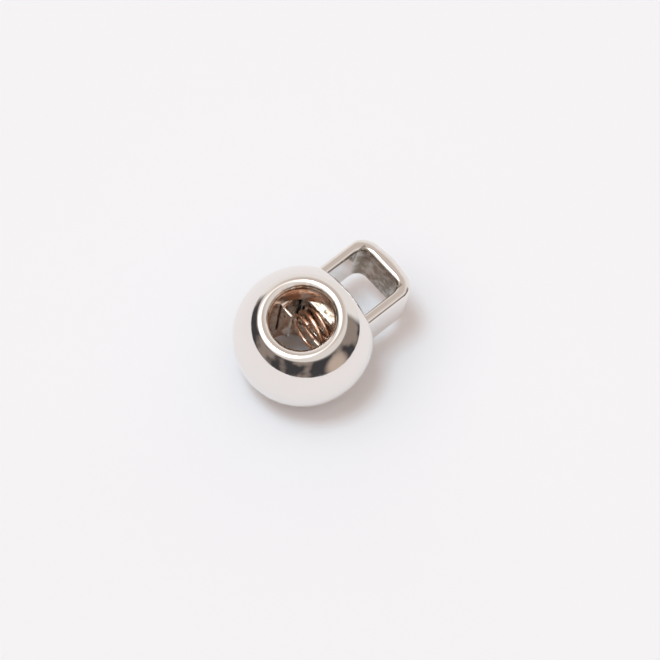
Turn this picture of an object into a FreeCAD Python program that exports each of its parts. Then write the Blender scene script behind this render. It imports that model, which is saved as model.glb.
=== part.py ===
"""Ball-shaped spring cord lock with a sliding eyelet.

A bored metal ball holds a U-shaped slider whose closed end stands out as a rectangular eyelet.
The slider's two arms run in a slot either side of a plug that is pressed into the ball's mouth.
A compression spring sits in the plug and pushes the arms' two inturned toes towards the far wall
of the cord hole, which clamps the cord.  Pulling the eyelet outwards opens the lock.

Millimetres.  The origin is where the cord hole's axis crosses the slider's axis.
+Z runs along the cord hole, +X along the slider from the ball to the eyelet.
"""
import FreeCAD
import Part
import math
import os

Vec = FreeCAD.Vector

# ---- driving dimensions -------------------------------------------------------------------
BALL_R = 7.5                 # ball, 15 mm across
BALL_X = 0.8                 # the ball's centre lies this far from the cord hole's axis
FLAT_FROM_CENTRE = 5.1       # flat that the slider comes out of, measured from the ball's centre
FLAT_EDGE_R = 0.25           # rounding where the flat meets the ball

HOLE_R = 3.35                # cord hole
HOLE_MOUTH_R = 0.85          # rounding of both mouths of the cord hole

SLIDER_W = 8.4               # across both arms
SLIDER_H = 6.0               # along the cord hole
ARM_T = 1.2                  # thickness of one arm
EYE_END_X = 13.5             # outer face of the eyelet
EYE_BAR_T = 1.75             # thickness of the eyelet's end bar
EYE_END_BOW_R = 24.0         # the end face is bowed by this radius
EYE_CORNER_OUT_R = 2.0
EYE_CORNER_IN_R = 1.3
OUTER_EDGE_R = 0.65          # rounding of the slider's outer edges
WINDOW_EDGE_R = 0.45         # rounding of the edges inside the eyelet
SMALL_EDGE_R = 0.30          # rounding of the toes and the plug

TOE_X = 0.3                  # the arms and their toes end here, inside the cord hole
TOE_T = 0.38                 # thickness of a toe along the slider
TOE_TIP_Y = 1.7              # the toes' tips are this far from the slider's axis
TOE_HALF_H = 2.55            # a toe's half height

RUN_GAP = 0.10               # running clearance round the slider
TRAVEL = 2.0                 # how far the slider pulls out before the toes meet the plug
STOP_GAP = 0.05              # left between the toes and the plug at the end of the travel

SPRING_MEAN_R = 2.2
SPRING_WIRE_R = 0.23
SPRING_TURNS = 5.0
SPRING_SEAT_T = 0.4          # bottom of the plug's spring seat
SPRING_SIDE_GAP = 0.10       # between the spring and its seat
SPRING_END_GAP = 0.02

# ---- worked out ---------------------------------------------------------------------------
FLAT_X = BALL_X + FLAT_FROM_CENTRE
EYE_IN_X = EYE_END_X - EYE_BAR_T
ARM_IN_Y = SLIDER_W / 2 - ARM_T
SLOT_HALF_W = SLIDER_W / 2 + RUN_GAP
SLOT_HALF_H = SLIDER_H / 2 + RUN_GAP
SLOT_IN_X = TOE_X - 2 * RUN_GAP
TOE_FACE_X = TOE_X + TOE_T
PLUG_IN_X = TOE_FACE_X + TRAVEL + STOP_GAP
SEAT_X = FLAT_X - SPRING_SEAT_T
SEAT_R = SPRING_MEAN_R + SPRING_WIRE_R + SPRING_SIDE_GAP


def block(x0, x1, y0, y1, z0, z1):
    return Part.makeBox(x1 - x0, y1 - y0, z1 - z0, Vec(x0, y0, z0))


def rod_x(radius, x0, x1):
    return Part.makeCylinder(radius, x1 - x0, Vec(x0, 0, 0), Vec(1, 0, 0))


def edges_where(shape, test):
    """Edges whose middle point passes the test."""
    picked = []
    for edge in shape.Edges:
        middle = edge.valueAt((edge.FirstParameter + edge.LastParameter) / 2)
        if test(middle, edge):
            picked.append(edge)
    return picked


def along_x(edge):
    """True for an edge that runs straight along X."""
    ends = edge.Vertexes
    if len(ends) < 2:
        return False
    run = ends[-1].Point.sub(ends[0].Point)
    return run.Length > 0 and abs(run.x) > 0.99 * run.Length


def along_z(edge):
    ends = edge.Vertexes
    if len(ends) < 2:
        return False
    run = ends[-1].Point.sub(ends[0].Point)
    return run.Length > 0 and abs(run.z) > 0.99 * run.Length


def slider_slot():
    """The straight passage that the slider's arms run in, with rounded corners."""
    slot = block(SLOT_IN_X, EYE_END_X, -SLOT_HALF_W, SLOT_HALF_W, -SLOT_HALF_H, SLOT_HALF_H)
    corners = edges_where(slot, lambda p, e: along_x(e))
    return slot.makeFillet(OUTER_EDGE_R, corners)


def make_housing():
    """Ball with the rounded cord hole, the flat that the slider comes out of, and its slot."""
    centre = Vec(BALL_X, 0, 0)
    up = Vec(0, 0, 1)
    upper_half = Part.makeSphere(BALL_R, centre, up, 0, 90, 360)
    upper_half.rotate(centre, up, 180)
    hole = Part.makeCylinder(HOLE_R, 2 * BALL_R, Vec(0, 0, -BALL_R / 2))
    hole.rotate(Vec(0, 0, 0), up, 180)
    upper_half = upper_half.cut(hole)

    def on_hole_mouth(p, edge):
        return abs(math.hypot(p.x, p.y) - HOLE_R) < 0.01 and p.z > BALL_R / 2 and not along_z(edge)

    upper_half = upper_half.makeFillet(HOLE_MOUTH_R, edges_where(upper_half, on_hole_mouth))
    body = upper_half.fuse(upper_half.mirror(Vec(0, 0, 0), up)).removeSplitter()
    body = body.cut(block(FLAT_X, FLAT_X + BALL_R, -BALL_R, BALL_R, -BALL_R, BALL_R))
    flat_rim = edges_where(body, lambda p, e: abs(p.x - FLAT_X) < 0.001)
    body = body.makeFillet(FLAT_EDGE_R, flat_rim)
    return body.cut(slider_slot())


def make_slider():
    """Two arms, the eyelet's end bar and the toes, in one piece."""
    half_w = SLIDER_W / 2
    half_h = SLIDER_H / 2
    outer = block(TOE_X, EYE_END_X, -half_w, half_w, -half_h, half_h)
    bow = Part.makeCylinder(EYE_END_BOW_R, SLIDER_H, Vec(EYE_END_X - EYE_END_BOW_R, 0, -half_h))
    outer = outer.common(bow)
    end_corners = edges_where(outer, lambda p, e: along_z(e) and p.x > EYE_IN_X)
    outer = outer.makeFillet(EYE_CORNER_OUT_R, end_corners)
    rim = edges_where(outer, lambda p, e: abs(abs(p.z) - half_h) < 0.001 and p.x > TOE_X + 0.01)
    outer = outer.makeFillet(OUTER_EDGE_R, rim)

    window = block(TOE_X - 1, EYE_IN_X, -ARM_IN_Y, ARM_IN_Y, -SLIDER_H, SLIDER_H)
    window_corners = edges_where(window, lambda p, e: along_z(e) and p.x > EYE_IN_X - 0.01)
    window = window.makeFillet(EYE_CORNER_IN_R, window_corners)
    body = outer.cut(window)

    def on_window_rim(p, edge):
        inside = abs(p.y) < ARM_IN_Y + 0.01 and TOE_X + 0.01 < p.x < EYE_IN_X + 0.01
        return inside and abs(abs(p.z) - half_h) < 0.001

    body = body.makeFillet(WINDOW_EDGE_R, edges_where(body, on_window_rim))
    for side in (-1, 1):
        root_y = side * (ARM_IN_Y + ARM_T / 2)
        tip_y = side * TOE_TIP_Y
        toe = block(TOE_X, TOE_FACE_X, min(root_y, tip_y), max(root_y, tip_y), -TOE_HALF_H, TOE_HALF_H)
        tip_edges = edges_where(toe, lambda p, e: along_x(e) and abs(p.y - tip_y) < 0.01)
        body = body.fuse(toe.makeFillet(SMALL_EDGE_R, tip_edges))
    return body.removeSplitter()


def make_spring_plug():
    """Fills the mouth between the arms and holds the spring in a blind seat."""
    half_w = ARM_IN_Y - RUN_GAP
    plug = block(PLUG_IN_X, FLAT_X, -half_w, half_w, -SLOT_HALF_H, SLOT_HALF_H)
    inner_rim = edges_where(plug, lambda p, e: abs(p.x - PLUG_IN_X) < 0.001)
    plug = plug.makeFillet(SMALL_EDGE_R, inner_rim)
    return plug.cut(rod_x(SEAT_R, PLUG_IN_X - 1, SEAT_X))


def make_spring():
    """Round-wire helix from the toes to the bottom of the seat."""
    first_x = TOE_FACE_X + SPRING_END_GAP + SPRING_WIRE_R
    last_x = SEAT_X - SPRING_END_GAP - SPRING_WIRE_R
    length = last_x - first_x
    pitch = length / SPRING_TURNS
    path = Part.makeLongHelix(pitch, length, SPRING_MEAN_R)
    wire_circle = Part.Circle(Vec(SPRING_MEAN_R, 0, 0), Vec(0, 1, 0), SPRING_WIRE_R)
    profile = Part.Wire([wire_circle.toShape()])
    coil = Part.Wire(path.Edges).makePipeShell([profile], True, True)
    coil.rotate(Vec(0, 0, 0), Vec(0, 1, 0), 90)
    coil.translate(Vec(first_x, 0, 0))
    return coil


def main():
    parts = {
        "ball_housing": make_housing(),
        "eyelet_slider": make_slider(),
        "spring_plug": make_spring_plug(),
        "clamp_spring": make_spring(),
    }
    os.makedirs("parts", exist_ok=True)
    for name, shape in parts.items():
        shape.exportStep("parts/" + name + ".step")
        size = shape.BoundBox
        print(name, "valid", shape.isValid(), "solids", len(shape.Solids), "volume", round(shape.Volume, 3),
              "x", round(size.XMin, 3), round(size.XMax, 3), "y", round(size.YMin, 3), round(size.YMax, 3),
              "z", round(size.ZMin, 3), round(size.ZMax, 3))


main()
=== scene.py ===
"""Looks for the ball cord lock: polished plate, copper-washed spring, pale table and soft light."""
import bmesh
import bpy
import math
from mathutils import Matrix, Vector


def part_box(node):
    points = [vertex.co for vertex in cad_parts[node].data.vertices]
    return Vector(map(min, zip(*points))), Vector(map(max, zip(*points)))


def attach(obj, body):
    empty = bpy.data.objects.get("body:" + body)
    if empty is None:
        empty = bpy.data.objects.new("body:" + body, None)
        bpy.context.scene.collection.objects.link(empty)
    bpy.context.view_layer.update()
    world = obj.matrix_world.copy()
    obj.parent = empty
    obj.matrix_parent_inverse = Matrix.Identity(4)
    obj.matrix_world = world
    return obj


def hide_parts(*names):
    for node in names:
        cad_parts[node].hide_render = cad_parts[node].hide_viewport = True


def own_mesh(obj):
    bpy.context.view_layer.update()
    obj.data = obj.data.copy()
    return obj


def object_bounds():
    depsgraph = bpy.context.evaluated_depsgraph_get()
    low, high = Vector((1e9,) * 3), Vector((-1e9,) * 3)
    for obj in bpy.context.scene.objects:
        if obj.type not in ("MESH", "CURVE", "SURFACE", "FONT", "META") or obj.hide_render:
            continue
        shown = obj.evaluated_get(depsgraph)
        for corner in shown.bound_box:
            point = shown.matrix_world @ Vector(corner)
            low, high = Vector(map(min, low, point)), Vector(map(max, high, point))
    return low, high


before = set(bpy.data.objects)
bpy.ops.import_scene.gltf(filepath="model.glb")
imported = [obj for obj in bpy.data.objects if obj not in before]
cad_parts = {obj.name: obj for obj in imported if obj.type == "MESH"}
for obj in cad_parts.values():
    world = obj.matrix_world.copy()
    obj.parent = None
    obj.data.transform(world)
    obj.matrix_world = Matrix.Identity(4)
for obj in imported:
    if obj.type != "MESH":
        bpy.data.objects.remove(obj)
CAD_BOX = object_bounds()
MM = 0.001

# ---- sizes, from the frame ------------------------------------------------------------------
ball_low, ball_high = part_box("ball_housing")
slider_low, slider_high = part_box("eyelet_slider")
plug_low, plug_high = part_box("spring_plug")
spring_low, spring_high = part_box("clamp_spring")

BALL_R = (ball_high.y - ball_low.y) / 2
BALL_CENTRE = Vector((ball_low.x + BALL_R, 0, 0))
FLAT_X = ball_high.x
FLOOR_Z = CAD_BOX[0].z
SKIN = 0.004 * MM            # every new surface lies this far inside the CAD one

# ---- sizes that the frame's boxes don't hold ------------------------------------------------
HOLE_R = 3.35 * MM
MOUTH_R = 0.85 * MM
FLAT_EDGE_R = 0.25 * MM
FLAT_SIDE = 0.2 * BALL_R     # only points this far towards the flat can be moved onto it
LIP_KEPT = 0.4 * MM          # the flat leaves the hole's lip alone within this distance of the hole
RUN_GAP = 0.10 * MM
SLOT_CORNER_R = 0.65 * MM

SLIDER_HALF_W = 4.2 * MM
ARM_T = 1.2 * MM
BAR_T = 1.75 * MM
EYE_CORNER_OUT_R = 2.1 * MM
EYE_CORNER_IN_R = 1.3 * MM
EYE_BOW = 0.22 * MM          # how far the end's middle stands out
ARM_OUT_EDGE_R = 0.60 * MM
ARM_IN_EDGE_R = 0.45 * MM
BAR_OUT_EDGE_R = 1.05 * MM
TOE_HALF_H = 2.55 * MM
TOE_T = 0.38 * MM
TOE_TIP_Y = 1.7 * MM
TOE_EDGE_R = 0.14 * MM
SHARP_SHARE = 0.45           # an inner edge takes at most this share of the strip's thickness
FLAT_LEFT = 0.02 * MM        # left flat between two roundings

WIRE_R = 0.23 * MM
SPRING_TURNS = 5.0
SPRING_CLOSED = 0.5          # turns that are close-wound at each end
SPRING_TIGHT = 2.02 * WIRE_R  # pitch of the close-wound turns
SPRING_LEAN = 0.12           # how far the free end leans, as a slope

PLUG_EDGE_R = 0.34 * MM
SEAT_T = 0.4 * MM
SEAT_GAP = 0.10 * MM
SEAT_MOUTH_R = 0.22 * MM
BEYOND = 1.0 * MM            # a cutting shape stands out this far past what it cuts
NEAR = 0.01 * MM             # places closer than this are the same

# ---- how finely things are divided ----------------------------------------------------------
BALL_STEPS = 320             # round the cord hole
SLIDER_STEPS = (26, 22, 14)  # along an arm, round a corner, along half the end bar
SEAT_STEPS = 96
COIL_STEPS = 64              # per turn of the spring
WIRE_SIDES = 12
TABLE_STEPS = 128

# ---- camera ---------------------------------------------------------------------------------
VIEW_AZIMUTH = -53.7         # degrees, 0 looks along +Y
VIEW_ELEVATION = 64.3
VIEW_ROLL = 13.2             # degrees that the object's upright leans to the right
VIEW_DISTANCE = 350 * MM
VIEW_SCALE = 9.467           # picture points per millimetre at the ball's centre
BALL_OFFSET = (-26.8, -6.3)  # the ball's centre from the middle of the picture, right and up
PICTURE = 660
SENSOR = 36.0


def direction(azimuth, elevation):
    """Unit vector from the object towards a camera or light at this azimuth and elevation."""
    a = math.radians(azimuth)
    e = math.radians(elevation)
    return Vector((math.sin(a) * math.cos(e), -math.cos(a) * math.cos(e), math.sin(e)))


def make_camera():
    back = direction(VIEW_AZIMUTH, VIEW_ELEVATION)
    level = (-back).to_track_quat("-Z", "Y").to_matrix()
    turn = level @ Matrix.Rotation(math.radians(VIEW_ROLL), 3, "Z")
    right = turn.col[0]
    up = turn.col[1]
    shift = right * (-BALL_OFFSET[0] / VIEW_SCALE * MM) + up * (-BALL_OFFSET[1] / VIEW_SCALE * MM)
    data = bpy.data.cameras.new("camera")
    data.sensor_width = SENSOR
    data.lens = VIEW_SCALE / MM * VIEW_DISTANCE / PICTURE * SENSOR
    data.clip_start = 0.01
    data.clip_end = 50
    camera = bpy.data.objects.new("camera", data)
    camera.matrix_world = Matrix.Translation(BALL_CENTRE + back * VIEW_DISTANCE + shift) @ turn.to_4x4()
    bpy.context.scene.collection.objects.link(camera)
    bpy.context.scene.camera = camera


# ---- mesh helpers ---------------------------------------------------------------------------
def new_object(name, points, faces):
    mesh = bpy.data.meshes.new(name)
    mesh.from_pydata([tuple(p) for p in points], [], faces)
    piece = bpy.data.objects.new(name, mesh)
    bpy.context.scene.collection.objects.link(piece)
    fix = bmesh.new()
    fix.from_mesh(mesh)
    bmesh.ops.recalc_face_normals(fix, faces=fix.faces)
    fix.to_mesh(mesh)
    fix.free()
    return piece


def ring_mesh(name, rings, closed_along, capped=False):
    """A grid of quads over rings of points.  Each ring is closed; so is the row of rings if asked."""
    count = len(rings[0])
    points = [p for ring in rings for p in ring]
    faces = []
    rows = len(rings) if closed_along else len(rings) - 1
    for i in range(rows):
        here = i * count
        there = (i + 1) % len(rings) * count
        for j in range(count):
            k = (j + 1) % count
            faces.append((here + j, here + k, there + k, there + j))
    if capped:
        faces.append(tuple(range(count)))
        last = (len(rings) - 1) * count
        faces.append(tuple(last + j for j in reversed(range(count))))
    return new_object(name, points, faces)


def arc(centre, radius, start, end, steps):
    """Points of a flat arc in (a, b), from start to end in degrees."""
    points = []
    for i in range(steps + 1):
        t = math.radians(start + (end - start) * i / steps)
        points.append((centre[0] + radius * math.cos(t), centre[1] + radius * math.sin(t)))
    return points


def rounded_box(name, low, high, radius, segments=6, only=None):
    """A box with rounded edges; only(edge) picks which edges to round."""
    form = bmesh.new()
    bmesh.ops.create_cube(form, size=1.0)
    for v in form.verts:
        v.co = Vector(low[i] + (v.co[i] + 0.5) * (high[i] - low[i]) for i in range(3))
    chosen = [e for e in form.edges if only is None or only(e)]
    bmesh.ops.bevel(form, geom=chosen, offset=radius, segments=segments, profile=0.5, affect="EDGES")
    bmesh.ops.recalc_face_normals(form, faces=form.faces)
    mesh = bpy.data.meshes.new(name)
    form.to_mesh(mesh)
    form.free()
    piece = bpy.data.objects.new(name, mesh)
    bpy.context.scene.collection.objects.link(piece)
    return piece


def combine(piece, others, operation):
    """Cuts the others from the piece, or joins them to it, and removes them."""
    for other in others:
        step = piece.modifiers.new("combine", "BOOLEAN")
        step.operation = operation
        step.solver = "EXACT"
        step.object = other
    bake(piece)
    for other in others:
        bpy.data.objects.remove(other)


def bake(piece):
    """Applies every modifier of the piece."""
    bpy.context.view_layer.update()
    shown = piece.evaluated_get(bpy.context.evaluated_depsgraph_get())
    made = bpy.data.meshes.new_from_object(shown)
    piece.modifiers.clear()
    piece.data = made


def smooth(piece, angle=32):
    """Smooth shading, with edges sharper than the angle kept sharp."""
    piece.data.shade_smooth()
    piece.data.set_sharp_from_angle(angle=math.radians(angle))


def along_x(edge):
    """True for an edge that runs along X."""
    run = edge.verts[1].co - edge.verts[0].co
    return abs(run.x) > 0.99 * run.length


# ---- the ball -------------------------------------------------------------------------------
def ball_profile(azimuth, steps_out=64, steps_mouth=14, steps_wall=10):
    """The ball wall's closed outline in the half-plane at this azimuth round the cord hole."""
    ball_r = BALL_R - SKIN
    along = BALL_CENTRE.x * math.cos(azimuth)
    across = BALL_CENTRE.x * math.sin(azimuth)
    # the mouth's rounding touches the ball and the hole's wall
    mouth_r = HOLE_R + MOUTH_R
    mouth_z = math.sqrt((ball_r - MOUTH_R) ** 2 - (mouth_r - along) ** 2 - across ** 2)
    section_r = math.sqrt(ball_r ** 2 - across ** 2)
    meets = math.degrees(math.atan2(mouth_z, mouth_r - along))
    outline = arc((along, 0), section_r, -meets, meets, steps_out)
    outline += arc((mouth_r, mouth_z), MOUTH_R, meets, 180, steps_mouth)[1:]
    for i in range(1, steps_wall):
        outline.append((HOLE_R, mouth_z * (1 - 2 * i / steps_wall)))
    outline += arc((mouth_r, -mouth_z), MOUTH_R, 180, 360 - meets, steps_mouth)[:-1]
    return outline


def flattened(point):
    """Pushes a point beyond the flat back onto it, towards the ball's centre, rounding the flat's edge."""
    offset = point - BALL_CENTRE
    reach = offset.length
    flat = FLAT_X - SKIN - BALL_CENTRE.x
    if offset.x <= FLAT_SIDE or math.hypot(point.x, point.y) < HOLE_R + LIP_KEPT:
        return point
    limit = flat * reach / offset.x
    blend = FLAT_EDGE_R
    gap = max(0.0, 1 - abs(limit - reach) / blend)
    kept = min(limit, reach) - gap * gap * blend / 4
    return BALL_CENTRE + offset * (kept / reach)


def make_ball():
    """The ball as rings round the cord hole, with the slider's slot cut through it."""
    rings = []
    for i in range(BALL_STEPS):
        azimuth = 2 * math.pi * i / BALL_STEPS
        ring = []
        for r, z in ball_profile(azimuth):
            ring.append(flattened(Vector((r * math.cos(azimuth), r * math.sin(azimuth), z))))
        rings.append(ring)
    ball = ring_mesh("ball_housing_shell", rings, True)
    gap = Vector((2 * RUN_GAP, RUN_GAP, RUN_GAP))
    low = Vector((slider_low.x, -SLIDER_HALF_W, slider_low.z)) - gap
    high = Vector((FLAT_X + BALL_R, SLIDER_HALF_W, slider_high.z)) + gap
    slot = rounded_box("slot", low, high, SLOT_CORNER_R, 6, along_x)
    combine(ball, [slot], "DIFFERENCE")
    smooth(ball)
    return ball


# ---- the slider -----------------------------------------------------------------------------
def u_path(half_w, end_x, corner_r, bow, steps_arm, steps_corner, steps_end):
    """Half of a U in plan, from the -Y arm's end to the middle of the end bar."""
    points = []
    start_x = slider_low.x + SKIN
    turn_x = end_x - bow - corner_r
    for i in range(steps_arm):
        t = i / steps_arm
        points.append((start_x + (turn_x - start_x) * t, -half_w))
    points += arc((turn_x, -half_w + corner_r), corner_r, -90, 0, steps_corner)[:-1]
    run = half_w - corner_r
    for i in range(steps_end + 1):
        t = i / steps_end
        y = -run * (1 - t)
        points.append((end_x - bow * (y / run) ** 2, y))
    return points


def cross_section(inner, outer, half_h, in_r, out_r, steps=8):
    """Rounded outline of the strip between an inner and an outer plan point."""
    inner = Vector((*inner, 0))
    outer = Vector((*outer, 0))
    thick = (outer - inner).length
    across = (outer - inner) / thick
    in_r = min(in_r, thick * SHARP_SHARE)
    out_r = min(out_r, thick - in_r - FLAT_LEFT)
    corners = [
        (thick - out_r, half_h - out_r, out_r, 0),
        (in_r, half_h - in_r, in_r, 90),
        (in_r, -half_h + in_r, in_r, 180),
        (thick - out_r, -half_h + out_r, out_r, 270),
    ]
    ring = []
    for a, z, radius, start in corners:
        for s, h in arc((a, z), radius, start, start + 90, steps):
            ring.append(inner + across * s + Vector((0, 0, h)))
    return ring


def smooth_step(t):
    """0 to 1 with a soft start and end."""
    t = max(0.0, min(1.0, t))
    return t * t * (3 - 2 * t)


def make_slider():
    """The U-shaped casting swept along its plan, with its two toes joined on."""
    half_w = SLIDER_HALF_W - SKIN
    half_h = slider_high.z - SKIN
    end_x = slider_high.x - SKIN
    outer = u_path(half_w, end_x, EYE_CORNER_OUT_R, EYE_BOW, *SLIDER_STEPS)
    inner = u_path(half_w - ARM_T, end_x - BAR_T, EYE_CORNER_IN_R, 0.0, *SLIDER_STEPS)
    rings = []
    corner_x = end_x - EYE_BOW - EYE_CORNER_OUT_R
    for a, b in zip(inner, outer):
        share = smooth_step((b[0] - corner_x) / EYE_CORNER_OUT_R)
        out_r = ARM_OUT_EDGE_R + (BAR_OUT_EDGE_R - ARM_OUT_EDGE_R) * share
        rings.append(cross_section(a, b, half_h, ARM_IN_EDGE_R, out_r))
    for ring in reversed(rings[:-1]):
        rings.append([Vector((p.x, -p.y, p.z)) for p in ring])
    slider = ring_mesh("eyelet_slider_casting", rings, False, True)
    parts = []
    for side in (-1, 1):
        faces_y = sorted((side * TOE_TIP_Y, side * (half_w - ARM_T / 2)))
        low = Vector((slider_low.x + 2 * SKIN, faces_y[0], SKIN - TOE_HALF_H))
        high = Vector((slider_low.x + TOE_T, faces_y[1], TOE_HALF_H - SKIN))
        parts.append(rounded_box("toe", low, high, TOE_EDGE_R, 4))
    combine(slider, parts, "UNION")
    smooth(slider)
    return slider


# ---- the plug and the spring ----------------------------------------------------------------
def make_plug():
    """The block between the arms, with the spring's blind seat."""
    low = plug_low + Vector((SKIN, SKIN, SKIN))
    high = plug_high - Vector((SKIN, SKIN, SKIN))
    plug = rounded_box("spring_plug_body", low, high, PLUG_EDGE_R, 6)
    seat_r = (spring_high.z - spring_low.z) / 2 + SEAT_GAP
    seat = []
    turns = [2 * math.pi * i / SEAT_STEPS for i in range(SEAT_STEPS)]
    for x in (low.x - BEYOND, plug_high.x - SEAT_T):
        seat.append([Vector((x, seat_r * math.cos(t), seat_r * math.sin(t))) for t in turns])
    combine(plug, [ring_mesh("seat", seat, False, True)], "DIFFERENCE")
    form = bmesh.new()
    form.from_mesh(plug.data)
    mouth = []
    for edge in form.edges:
        middle = (edge.verts[0].co + edge.verts[1].co) / 2
        off_rim = abs(math.hypot(middle.y, middle.z) - seat_r)
        if off_rim < NEAR and abs(middle.x - low.x) < NEAR:
            mouth.append(edge)
    bmesh.ops.bevel(form, geom=mouth, offset=SEAT_MOUTH_R, segments=5, profile=0.5, affect="EDGES")
    form.to_mesh(plug.data)
    form.free()
    smooth(plug)
    return plug


def leaned(point, first_x, last_x, reach):
    """Tips the spring's free end so that its +Y side lies deeper in the plug."""
    free = smooth_step((last_x - point.x) / (last_x - first_x))
    return point + Vector((SPRING_LEAN * (point.y + reach) * free, 0, 0))


def make_spring():
    """Round wire, close-wound at each end, with its free end leaned."""
    mean_r = (spring_high.z - spring_low.z) / 2 - WIRE_R - SKIN
    first_x = spring_low.x + WIRE_R + SKIN
    last_x = spring_high.x - WIRE_R - SKIN
    total = round(SPRING_TURNS * COIL_STEPS)
    advance = []
    for i in range(total):
        turn = (i + 0.5) / COIL_STEPS
        near_end = min(turn, SPRING_TURNS - turn)
        advance.append(smooth_step((near_end - SPRING_CLOSED * 0.5) / SPRING_CLOSED))
    open_pitch = (last_x - first_x - SPRING_TIGHT * SPRING_TURNS) / sum(advance) * COIL_STEPS
    round_wire = arc((0, 0), 1, 0, 360 - 360 / WIRE_SIDES, WIRE_SIDES - 1)
    rings = []
    x = first_x
    for i in range(total + 1):
        angle = 2 * math.pi * i / COIL_STEPS
        pitch = SPRING_TIGHT + open_pitch * advance[min(i, total - 1)]
        out = Vector((0, math.sin(angle), math.cos(angle)))
        around = Vector((0, math.cos(angle), -math.sin(angle)))
        run = (Vector((pitch / (2 * math.pi), 0, 0)) + around * mean_r).normalized()
        side = run.cross(out)
        middle = Vector((x, 0, 0)) + out * mean_r
        wire = [middle + out * (WIRE_R * a) + side * (WIRE_R * b) for a, b in round_wire]
        rings.append([leaned(p, first_x, last_x, mean_r) for p in wire])
        x += pitch / COIL_STEPS
    spring = ring_mesh("clamp_spring_wire", rings, False, True)
    smooth(spring, 40)
    return spring


# ---- materials ------------------------------------------------------------------------------
class Looks:
    """One plated-metal material and the nodes that build it, all on the object's own coordinates."""

    def __init__(self, name, colour, rough):
        self.material = bpy.data.materials.new(name)
        self.material.use_nodes = True
        self.nodes = self.material.node_tree.nodes
        self.links = self.material.node_tree.links
        self.shader = self.nodes["Principled BSDF"]
        self.shader.inputs["Metallic"].default_value = 1.0
        self.place = self.nodes.new("ShaderNodeTexCoord").outputs["Object"]
        self.colour = colour
        self.rough = rough

    def noise(self, per_mm, detail=3.0, stretch=None):
        """A noise value; per_mm is in lumps per millimetre, and stretch is a turn and a scale."""
        texture = self.nodes.new("ShaderNodeTexNoise")
        texture.inputs["Scale"].default_value = per_mm / MM
        texture.inputs["Detail"].default_value = detail
        place = self.place
        if stretch:
            turn = self.nodes.new("ShaderNodeMapping")
            turn.inputs["Rotation"].default_value = stretch[0]
            turn.inputs["Scale"].default_value = stretch[1]
            self.links.new(place, turn.inputs["Vector"])
            place = turn.outputs["Vector"]
        self.links.new(place, texture.inputs["Vector"])
        return texture.outputs["Fac"]

    def ramp(self, value, low, high, to_low=0.0, to_high=1.0):
        """Maps low..high smoothly onto to_low..to_high; low may be the larger one."""
        node = self.nodes.new("ShaderNodeMapRange")
        node.interpolation_type = "SMOOTHSTEP"
        node.inputs["From Min"].default_value = low
        node.inputs["From Max"].default_value = high
        node.inputs["To Min"].default_value = to_low
        node.inputs["To Max"].default_value = to_high
        self.links.new(value, node.inputs["Value"])
        return node.outputs["Result"]

    def math(self, operation, a, b=None):
        """A math node over values or plain numbers."""
        node = self.nodes.new("ShaderNodeMath")
        node.operation = operation
        for socket, value in zip(node.inputs, (a, b)):
            if isinstance(value, float):
                socket.default_value = value
            elif value is not None:
                self.links.new(value, socket)
        return node.outputs["Value"]

    def axis(self, name):
        """The object's own X, Y or Z coordinate."""
        split = self.nodes.new("ShaderNodeSeparateXYZ")
        self.links.new(self.place, split.inputs["Vector"])
        return split.outputs[name]

    def tint(self, mask, colour):
        """Turns the base colour towards another where the mask is 1."""
        node = self.nodes.new("ShaderNodeMix")
        node.data_type = "RGBA"
        self.links.new(mask, node.inputs["Factor"])
        if isinstance(self.colour, tuple):
            node.inputs["A"].default_value = (*self.colour, 1)
        else:
            self.links.new(self.colour, node.inputs["A"])
        node.inputs["B"].default_value = (*colour, 1)
        self.colour = node.outputs["Result"]

    def roughen(self, mask, amount):
        """Adds roughness where the mask is 1."""
        added = self.math("MULTIPLY", mask, amount)
        self.rough = self.math("ADD", added, self.rough)

    def bump(self, heights):
        """Adds height layers, each a value with its depth in millimetres."""
        normal = None
        for value, depth in heights:
            node = self.nodes.new("ShaderNodeBump")
            node.inputs["Distance"].default_value = depth * MM
            self.links.new(value, node.inputs["Height"])
            if normal:
                self.links.new(normal, node.inputs["Normal"])
            normal = node.outputs["Normal"]
        self.links.new(normal, self.shader.inputs["Normal"])

    def done(self):
        """Connects colour and roughness, and gives the material."""
        if isinstance(self.colour, tuple):
            self.shader.inputs["Base Color"].default_value = (*self.colour, 1)
        else:
            self.links.new(self.colour, self.shader.inputs["Base Color"])
        self.links.new(self.rough, self.shader.inputs["Roughness"])
        return self.material


NICKEL = (0.86, 0.82, 0.79)
PAINTED_WARM_REFLECTION = (0.93, 0.78, 0.66)        # painted warm reflection inside the ball's hole
# painted shade: dark brown laid on the hollows and on faces turned towards the ball
PAINTED_SHADE = (0.29, 0.23, 0.175)
PAINTED_COPPER_REFLECTION = (0.56, 0.30, 0.18)      # painted reflection of the copper spring, on one side of the hole
COPPER = (1.0, 0.76, 0.62)
STAINED_COPPER = (0.80, 0.50, 0.36)
WAVE_DEPTH = 0.004                   # millimetres, as are all depths here
SCRATCH_DEPTH = 0.0006
SCRATCH_RUN = ((0.3, 0.5, 0.9), (0.06, 1.0, 1.0))     # turn and stretch of the scratches
DRAW_DEPTH = 0.0012
DRAW_RUN = ((0.0, 0.0, 0.0), (1.0, 0.15, 0.15))       # the same for the wire's drawing marks


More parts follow.
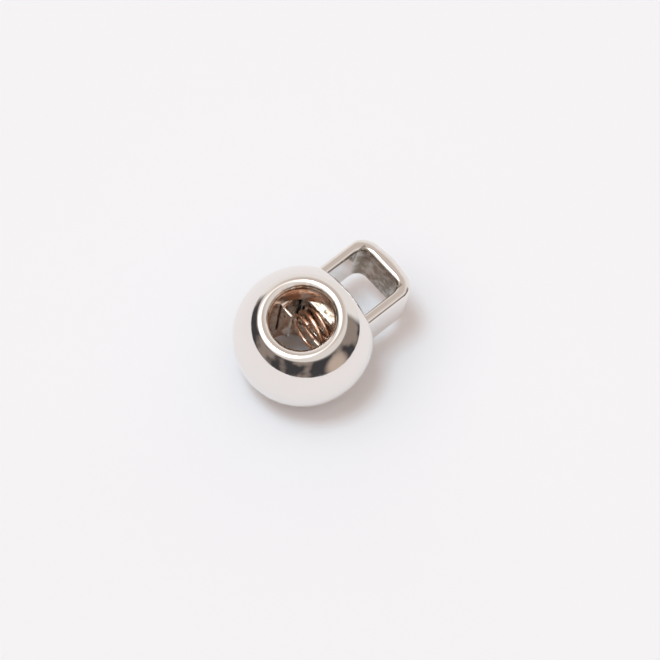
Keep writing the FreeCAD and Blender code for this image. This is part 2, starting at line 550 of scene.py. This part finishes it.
def plate_wear_and_shade(looks, recess, roughness, lumps=0.0):
    """Smudges, hairline scratches and a waviness over all.

    Where recess is 1 the plate is rougher and has cast lumps this deep in mm; it is also painted warmer, as
    painted warm reflection, and given dark spots of painted shade.
    """
    smudges = looks.ramp(looks.noise(per_mm=0.5), 0.35, 0.65)
    looks.roughen(smudges, 0.05)
    patchy = looks.ramp(looks.noise(per_mm=0.9, detail=4.0), 0.38, 0.62, to_low=0.55)
    dull_and_shaded = looks.math("MULTIPLY", recess, patchy)
    # painted warm reflection over the hollow
    looks.tint(dull_and_shaded, PAINTED_WARM_REFLECTION)
    looks.roughen(dull_and_shaded, roughness)
    spots = looks.ramp(looks.noise(per_mm=1.7, detail=5.0), 0.56, 0.66)
    # painted shade in dark spots within the hollow
    looks.tint(looks.math("MULTIPLY", spots, dull_and_shaded), PAINTED_SHADE)
    scratches = looks.noise(per_mm=9.0, detail=2.0, stretch=SCRATCH_RUN)
    cast = looks.math("MULTIPLY", looks.noise(per_mm=1.9), recess)
    waves = looks.noise(per_mm=0.6, detail=1.0)
    looks.bump([(waves, WAVE_DEPTH), (cast, lumps), (scratches, SCRATCH_DEPTH)])


def ball_plate():
    """Bright outside, rougher in the hole with painted warm reflection and painted shade there, and a
    painted reflection of the copper spring near the mouths on the +Y side.
    """
    looks = Looks("polished_nickel", NICKEL, rough=0.04)
    x = looks.axis("X")
    y = looks.axis("Y")
    squares = looks.math("ADD", looks.math("MULTIPLY", x, x), looks.math("MULTIPLY", y, y))
    from_axis = looks.math("SQRT", squares)
    recess = looks.ramp(from_axis, HOLE_R + 0.50 * MM, HOLE_R + 0.08 * MM)
    plate_wear_and_shade(looks, recess, roughness=0.18)
    far_side = looks.math("MULTIPLY", recess, looks.ramp(y, 0.6 * MM, 2.2 * MM))
    near_mouth = looks.ramp(looks.math("ABSOLUTE", looks.axis("Z")), 2.4 * MM, 3.4 * MM)
    patches = looks.ramp(looks.noise(per_mm=0.8, detail=2.0), 0.42, 0.54, to_low=0.10, to_high=0.85)
    copper_reflection_mask = looks.math("MULTIPLY", looks.math("MULTIPLY", far_side, near_mouth), patches)
    # painted reflection of the copper spring on the hole's +Y wall
    looks.tint(copper_reflection_mask, PAINTED_COPPER_REFLECTION)
    return looks.done()


def slider_plate():
    """Duller inside the ball with painted warm reflection and painted shade there, and painted shade on the
    end bar's inner face.
    """
    looks = Looks("slider_nickel", NICKEL, rough=0.06)
    x = looks.axis("X")
    window_y = SLIDER_HALF_W - ARM_T
    window_x = slider_high.x - BAR_T
    off_middle = looks.math("ABSOLUTE", looks.axis("Y"))
    between_arms = looks.ramp(off_middle, window_y + 0.08 * MM, window_y - 0.02 * MM)
    before_bar = looks.ramp(x, window_x + 0.16 * MM, window_x + 0.03 * MM)
    near_bar = looks.ramp(x, window_x - 1.5 * MM, window_x - 0.6 * MM)
    end_face = looks.math("MULTIPLY", between_arms, looks.math("MULTIPLY", before_bar, near_bar))
    in_ball = looks.ramp(x, 3.6 * MM, 2.0 * MM)
    plate_wear_and_shade(looks, in_ball, roughness=0.22)
    mottled = looks.ramp(looks.noise(per_mm=1.3, detail=4.0), 0.34, 0.60, to_low=0.62)
    end_face_shade = looks.math("MULTIPLY", end_face, mottled)
    # painted shade on the end bar's face towards the ball, in mottled patches
    looks.tint(end_face_shade, PAINTED_SHADE)
    looks.roughen(end_face_shade, 0.20)
    return looks.done()


def plug_plate():
    """Rough where it looks into the hole, with painted warm reflection and mottled painted shade there;
    plain on the outside.
    """
    looks = Looks("plug_nickel", NICKEL, rough=0.10)
    recess = looks.ramp(looks.axis("X"), HOLE_R + 0.5 * MM, HOLE_R - 1.2 * MM)
    plate_wear_and_shade(looks, recess, roughness=0.14, lumps=0.13)
    mottled = looks.ramp(looks.noise(per_mm=2.2, detail=4.0), 0.38, 0.56, to_low=0.15, to_high=0.85)
    inside = looks.ramp(looks.axis("X"), HOLE_R + 1.2 * MM, HOLE_R + 0.4 * MM)
    # painted shade in mottled patches where the plug looks into the hole
    looks.tint(looks.math("MULTIPLY", mottled, inside), PAINTED_SHADE)
    return looks.done()


def copper_wash():
    """Stained copper with fine drawing marks."""
    looks = Looks("copper_wash", COPPER, rough=0.20)
    stain = looks.ramp(looks.noise(per_mm=1.6, detail=4.0), 0.45, 0.62)
    looks.tint(stain, STAINED_COPPER)
    looks.roughen(stain, 0.12)
    drawn = looks.noise(per_mm=14.0, detail=2.0, stretch=DRAW_RUN)
    looks.bump([(drawn, DRAW_DEPTH)])
    return looks.done()


# ---- the table ------------------------------------------------------------------------------
TABLE_R = 110 * MM           # a round table, so the metal mirrors the room just beyond its edge
TABLE_COLOUR = (0.853, 0.860, 0.896)


def make_floor():
    mesh = bpy.data.meshes.new("table")
    turns = [2 * math.pi * i / TABLE_STEPS for i in range(TABLE_STEPS)]
    edge = [(TABLE_R * math.cos(t), TABLE_R * math.sin(t), FLOOR_Z) for t in turns]
    mesh.from_pydata(edge, [], [tuple(range(TABLE_STEPS))])
    floor = bpy.data.objects.new("table", mesh)
    bpy.context.scene.collection.objects.link(floor)
    material = bpy.data.materials.new("table_paper")
    material.use_nodes = True
    shader = material.node_tree.nodes["Principled BSDF"]
    shader.inputs["Base Color"].default_value = (*TABLE_COLOUR, 1)
    shader.inputs["Roughness"].default_value = 0.9
    shader.inputs["Specular IOR Level"].default_value = 0.1
    floor.data.materials.append(material)


# ---- light ----------------------------------------------------------------------------------
KEY_AZIMUTH = -127
KEY_ELEVATION = 74
KEY_SPREAD = 16              # degrees across
KEY_STRENGTH = 1.02
KEY_COLOUR = (0.60, 0.86, 1.0)

# What the metal mirrors.  Directions are unit vectors, and each pair of edges says where a mask
# starts and where it is full: in degrees for a SPOT, otherwise as a height or a cosine.
CEILING = (0.80, 0.765, 0.735)
FAR_WALL = (0.88, 0.86, 0.84)
WALL_HEIGHT = (0.47, 0.36)
DIM_CEILING = (0.63, 0.55, 0.50)
DIM_TOWARDS = (0.349, 0.256, 0.901)
DIM_SPOT = (36, 16)
SOFTBOX = (2.2, 2.17, 2.15)
SOFTBOX_TOWARDS = direction(-127, 62)
SOFTBOX_SPOT = (31, 11)
DARK_ROOM = (0.055, 0.052, 0.056)
ROOM_TOWARDS = direction(VIEW_AZIMUTH, 0)
ROOM_EDGE = (-0.62, -0.44)
ROOM_THINGS = (0.30, 0.25, 0.22)
THINGS_SCALE = 1.9
THINGS_EDGE = (0.46, 0.60)
CURTAIN = (0.55, 0.45, 0.38)
CURTAIN_TOWARDS = direction(7, 1)
CURTAIN_EDGE = (0.93, 0.995)
ROOM_GLOW = (1.0, 0.90, 0.84)     # tint of the room's light on the table
BACKDROP = (0.913, 0.897, 0.905)  # what the camera sees beyond the table


class Sky:
    """Builds the room that the metal mirrors, from masks on the world's own directions."""

    def __init__(self, tree):
        self.nodes = tree.nodes
        self.links = tree.links
        place = self.nodes.new("ShaderNodeTexCoord")
        self.direction = place.outputs["Generated"]
        split = self.nodes.new("ShaderNodeSeparateXYZ")
        self.links.new(self.direction, split.inputs["Vector"])
        self.height = split.outputs["Z"]

    def towards(self, vector):
        """Cosine of the angle between the direction and the vector."""
        node = self.nodes.new("ShaderNodeVectorMath")
        node.operation = "DOT_PRODUCT"
        node.inputs[1].default_value = vector
        self.links.new(self.direction, node.inputs[0])
        return node.outputs["Value"]

    def spot(self, vector, edges):
        """1 within the second angle of the vector, 0 beyond the first, both in degrees."""
        return self.step(self.towards(vector), *(math.cos(math.radians(edge)) for edge in edges))

    def step(self, value, low, high):
        """0 below low, 1 above high, smooth between; low may be the larger one."""
        node = self.nodes.new("ShaderNodeMapRange")
        node.interpolation_type = "SMOOTHSTEP"
        node.inputs["From Min"].default_value = low
        node.inputs["From Max"].default_value = high
        self.links.new(value, node.inputs["Value"])
        return node.outputs["Result"]

    def clutter(self):
        """1 where things in the dark room catch some light."""
        node = self.nodes.new("ShaderNodeTexNoise")
        node.inputs["Scale"].default_value = THINGS_SCALE
        node.inputs["Detail"].default_value = 2.0
        self.links.new(self.direction, node.inputs["Vector"])
        return self.step(node.outputs["Fac"], *THINGS_EDGE)

    def times(self, a, b):
        """The product of two masks."""
        node = self.nodes.new("ShaderNodeMath")
        node.operation = "MULTIPLY"
        self.links.new(a, node.inputs[0])
        self.links.new(b, node.inputs[1])
        return node.outputs["Value"]

    def tinted(self, colour, by):
        """The colour multiplied by another."""
        node = self.nodes.new("ShaderNodeMix")
        node.data_type = "RGBA"
        node.blend_type = "MULTIPLY"
        node.inputs["Factor"].default_value = 1.0
        self.links.new(colour, node.inputs["A"])
        node.inputs["B"].default_value = (*by, 1)
        return node.outputs["Result"]

    def over(self, below, mask, colour):
        """Lays a colour over what is there, where the mask is 1."""
        node = self.nodes.new("ShaderNodeMix")
        node.data_type = "RGBA"
        self.links.new(mask, node.inputs["Factor"])
        if isinstance(below, tuple):
            node.inputs["A"].default_value = (*below, 1)
        else:
            self.links.new(below, node.inputs["A"])
        node.inputs["B"].default_value = (*colour, 1)
        return node.outputs["Result"]


def room_colour(sky):
    """The room's colour in each direction, laid over one another from the ceiling on."""
    low = sky.step(sky.height, *WALL_HEIGHT)
    colour = sky.over(CEILING, low, FAR_WALL)
    colour = sky.over(colour, sky.spot(DIM_TOWARDS, DIM_SPOT), DIM_CEILING)
    colour = sky.over(colour, sky.spot(SOFTBOX_TOWARDS, SOFTBOX_SPOT), SOFTBOX)
    room = sky.times(low, sky.step(sky.towards(ROOM_TOWARDS), *ROOM_EDGE))
    colour = sky.over(colour, room, DARK_ROOM)
    colour = sky.over(colour, sky.times(room, sky.clutter()), ROOM_THINGS)
    curtain = sky.times(sky.step(sky.towards(CURTAIN_TOWARDS), *CURTAIN_EDGE), low)
    return sky.over(colour, curtain, CURTAIN)


def make_world():
    """The metal mirrors the room, the table gets its light tinted, and the camera sees a plain backdrop."""
    world = bpy.data.worlds.new("room")
    bpy.context.scene.world = world
    world.use_nodes = True
    tree = world.node_tree
    sky = Sky(tree)
    colour = room_colour(sky)
    mirrored = tree.nodes["Background"]
    tree.links.new(colour, mirrored.inputs["Color"])
    glow = tree.nodes.new("ShaderNodeBackground")
    tree.links.new(sky.tinted(colour, ROOM_GLOW), glow.inputs["Color"])
    plain = tree.nodes.new("ShaderNodeBackground")
    plain.inputs["Color"].default_value = (*BACKDROP, 1)
    rays = tree.nodes.new("ShaderNodeLightPath")
    surface = mirrored.outputs["Background"]
    for kind, shader in (("Is Diffuse Ray", glow), ("Is Camera Ray", plain)):
        either = tree.nodes.new("ShaderNodeMixShader")
        tree.links.new(rays.outputs[kind], either.inputs["Fac"])
        tree.links.new(surface, either.inputs[1])
        tree.links.new(shader.outputs["Background"], either.inputs[2])
        surface = either.outputs["Shader"]
    tree.links.new(surface, tree.nodes["World Output"].inputs["Surface"])


def make_key():
    data = bpy.data.lights.new("key", "SUN")
    data.energy = KEY_STRENGTH
    data.color = KEY_COLOUR
    data.angle = math.radians(KEY_SPREAD)
    data.specular_factor = 0.0
    light = bpy.data.objects.new("key", data)
    light.rotation_euler = (-direction(KEY_AZIMUTH, KEY_ELEVATION)).to_track_quat("-Z", "Y").to_euler()
    bpy.context.scene.collection.objects.link(light)


make_camera()
make_floor()
make_world()
make_key()
bpy.context.scene.view_settings.view_transform = "Standard"


def dress(piece, node, body, material):
    """Gives a piece its material, hangs it under its body's empty and hides the CAD node that it stands in
    for.
    """
    piece.data.materials.clear()
    piece.data.materials.append(material)
    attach(piece, body)
    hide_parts(node)


dress(make_ball(), "ball_housing", "housing", ball_plate())
dress(make_slider(), "eyelet_slider", "slider", slider_plate())
dress(make_plug(), "spring_plug", "housing", plug_plate())
spring = make_spring()
dress(spring, "clamp_spring", "housing", copper_wash())
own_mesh(spring)
